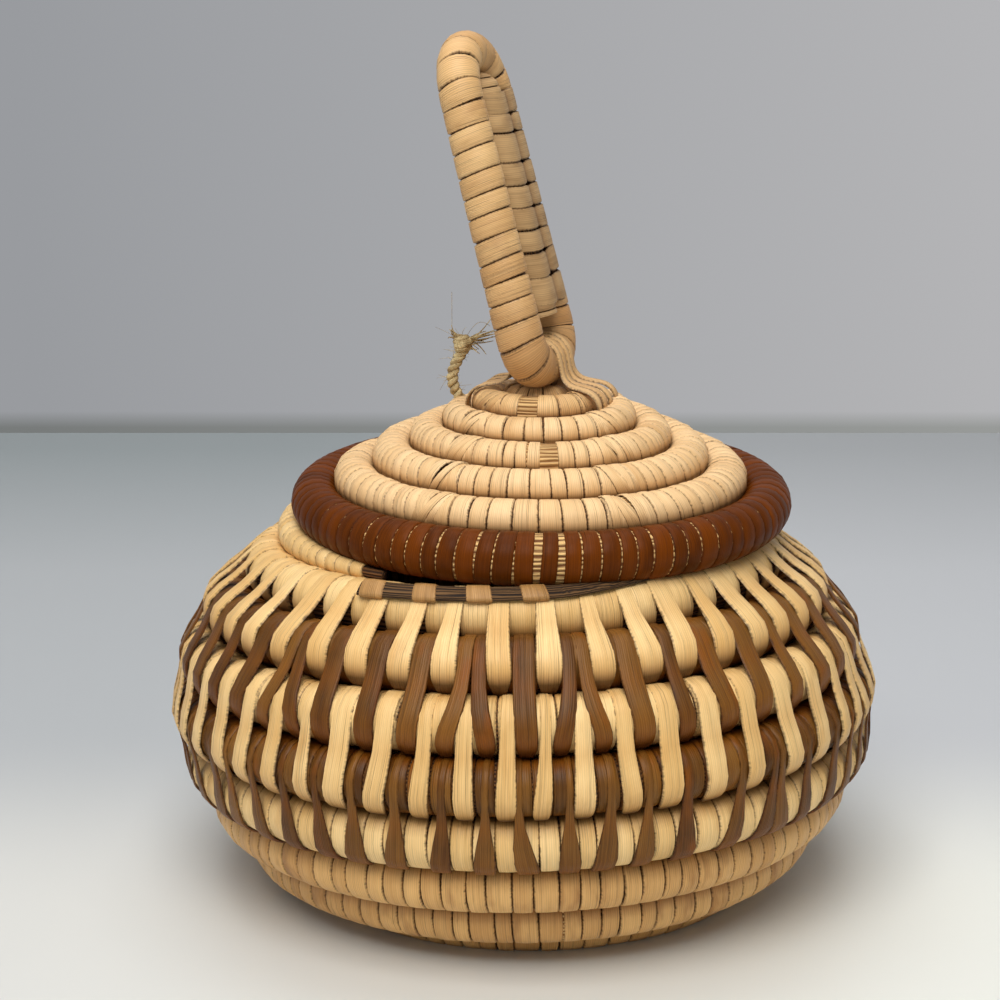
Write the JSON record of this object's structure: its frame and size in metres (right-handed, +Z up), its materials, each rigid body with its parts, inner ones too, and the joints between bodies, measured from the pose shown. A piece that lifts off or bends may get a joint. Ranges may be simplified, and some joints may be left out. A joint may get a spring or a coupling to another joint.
{
  "type": "coiled basket",
  "caption": "Round-bellied basket of one coiled grass rope, with a domed coiled lid and a tall looped handle laced to the lid's crown.",
  "frame": {"origin": "on the table under the middle of the base", "axes": "+Z up, -Y towards the front that the picture shows, +X to the right of the picture"},
  "size_m": [0.1584, 0.1584, 0.1898],
  "materials": {
    "core_grass": "dry grass",
    "base_palm": "satin palm wrapping",
    "base_edge_coil_palm": "satin palm wrapping",
    "foot_coil_palm": "satin palm wrapping",
    "lower_coil_palm": "satin palm wrapping",
    "lower_pale_coil_palm": "satin palm wrapping",
    "belly_brown_coil_palm": "satin dyed palm wrapping",
    "belly_pale_coil_palm": "satin palm wrapping",
    "shoulder_brown_coil_palm": "satin dyed palm wrapping",
    "mouth_coil_palm": "satin palm wrapping",
    "tail_palm": "satin palm wrapping",
    "flange_grass": "dry grass",
    "rim_palm": "satin dyed palm wrapping",
    "lid_first_coil_palm": "satin palm wrapping",
    "lid_second_coil_palm": "satin palm wrapping",
    "lid_third_coil_palm": "satin palm wrapping",
    "lid_fourth_coil_palm": "satin palm wrapping",
    "lid_fifth_coil_palm": "satin palm wrapping",
    "crown_coil_palm": "satin palm wrapping",
    "lacing_front_palm": "satin palm strand",
    "lacing_back_palm": "satin palm strand",
    "twine_fibre": "fuzzy twine",
    "handle_palm": "satin palm wrapping",
    "middle_palm": "satin palm wrapping"
  },
  "bodies": {
    "basket": {"base_core": "core_grass", "base_spiral": "base_palm", "base_edge_coil": "base_edge_coil_palm", "foot_coil": "foot_coil_palm", "lower_coil": "lower_coil_palm", "lower_pale_coil": "lower_pale_coil_palm", "belly_brown_coil": "belly_brown_coil_palm", "belly_pale_coil": "belly_pale_coil_palm", "shoulder_brown_coil": "shoulder_brown_coil_palm", "mouth_coil": "mouth_coil_palm", "mouth_tail": "tail_palm"},
    "lid": {"lid_flange_coil": "flange_grass", "lid_rim_coil": "rim_palm", "lid_first_coil": "lid_first_coil_palm", "lid_second_coil": "lid_second_coil_palm", "lid_third_coil": "lid_third_coil_palm", "lid_fourth_coil": "lid_fourth_coil_palm", "lid_fifth_coil": "lid_fifth_coil_palm", "crown_coil": "crown_coil_palm", "lacing_front": "lacing_front_palm", "lacing_back": "lacing_back_palm", "twine_end": "twine_fibre"},
    "handle": {"handle_outer_coil": "handle_palm", "handle_middle_coil": "middle_palm"}
  },
  "joints": [
    {"name": "lid_lift", "type": "slide", "parent": "basket", "child": "lid", "axis": [0, 0, 1], "range_m": [0, 0.1]},
    {"name": "handle_rock", "type": "hinge", "parent": "lid", "child": "handle", "pos_m": [0.0042, -0.00368, 0.11867], "axis": [0.3256, 0.9441, 0.0511], "range_deg": [-15, 30]}
  ]
}
